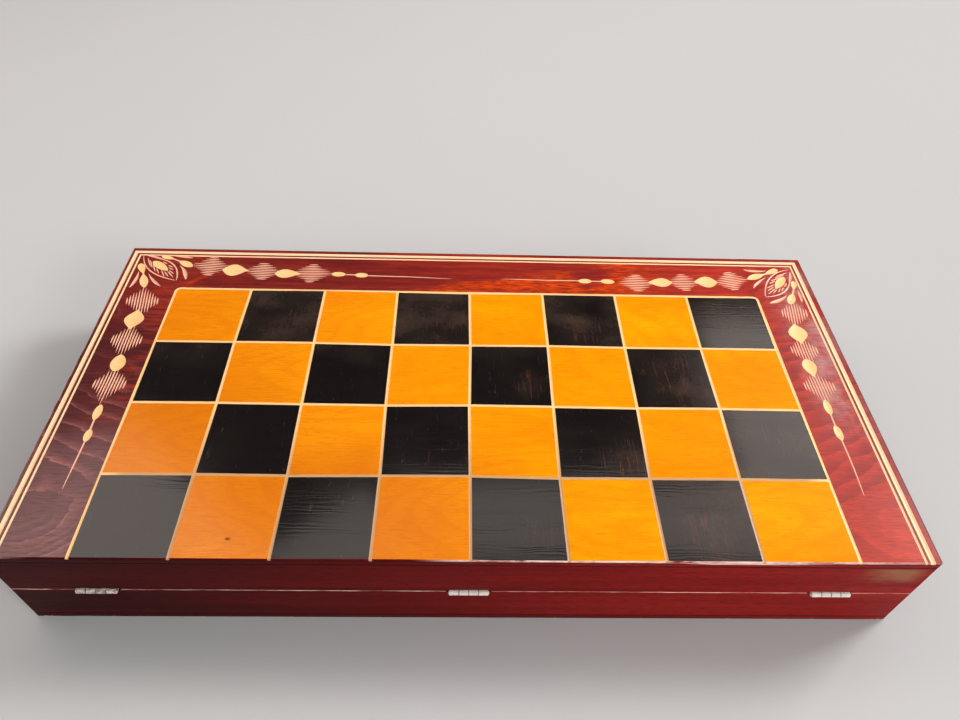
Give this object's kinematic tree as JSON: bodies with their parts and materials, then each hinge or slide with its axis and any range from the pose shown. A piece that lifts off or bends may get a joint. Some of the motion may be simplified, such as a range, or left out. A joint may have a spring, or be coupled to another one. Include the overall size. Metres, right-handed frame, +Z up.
{
  "type": "chess and backgammon board",
  "caption": "Folding wooden game board: hinged trays with carved chess squares outside, backgammon points inside and swinging latch hooks.",
  "frame": {"origin": "middle of the face that the closed board lies on", "axes": "+X along the hinge edge, +Y from the hinge edge to the latch edge, +Z up"},
  "size_m": [0.4, 0.2046, 0.057],
  "materials": {
    "carved_panel": "plywood stained mahogany, amber and black under gloss lacquer, carved lines bare",
    "stained_rail": "solid wood stained dark red under lacquer, worn pale along the edges",
    "hinge_metal": "nickel-plated sheet steel",
    "screw_metal": "plated steel screws",
    "hook_metal": "nickel-plated stamped steel"
  },
  "bodies": {
    "base": {"lower_panel": "carved_panel", "lower_hinge_rail": "stained_rail", "lower_latch_rail": "stained_rail", "lower_left_rail": "stained_rail", "lower_right_rail": "stained_rail", "left_hinge_lower_leaf": "hinge_metal", "middle_hinge_lower_leaf": "hinge_metal", "right_hinge_lower_leaf": "hinge_metal", "left_hinge_pin": "hinge_metal", "middle_hinge_pin": "hinge_metal", "right_hinge_pin": "hinge_metal", "lower_hinge_screws": "screw_metal", "hook_pivot_screws": "screw_metal"},
    "lid": {"upper_panel": "carved_panel", "upper_hinge_rail": "stained_rail", "upper_latch_rail": "stained_rail", "upper_left_rail": "stained_rail", "upper_right_rail": "stained_rail", "left_hinge_upper_leaf": "hinge_metal", "middle_hinge_upper_leaf": "hinge_metal", "right_hinge_upper_leaf": "hinge_metal", "upper_hinge_screws": "screw_metal", "catch_studs": "screw_metal"},
    "left_latch": {"left_hook": "hook_metal"},
    "right_latch": {"right_hook": "hook_metal"}
  },
  "joints": [
    {"name": "lid_fold", "type": "hinge", "parent": "base", "child": "lid", "pos_m": [0, -0.1005, 0.0285], "axis": [1, 0, 0], "range_deg": [0, 180]},
    {"name": "left_hook_swing", "type": "hinge", "parent": "base", "child": "left_latch", "pos_m": [-0.1, 0.1008, 0.022], "axis": [0, 1, 0], "range_deg": [-150, 180]},
    {"name": "right_hook_swing", "type": "hinge", "parent": "base", "child": "right_latch", "pos_m": [0.1, 0.1008, 0.022], "axis": [0, -1, 0], "range_deg": [-150, 180]}
  ]
}
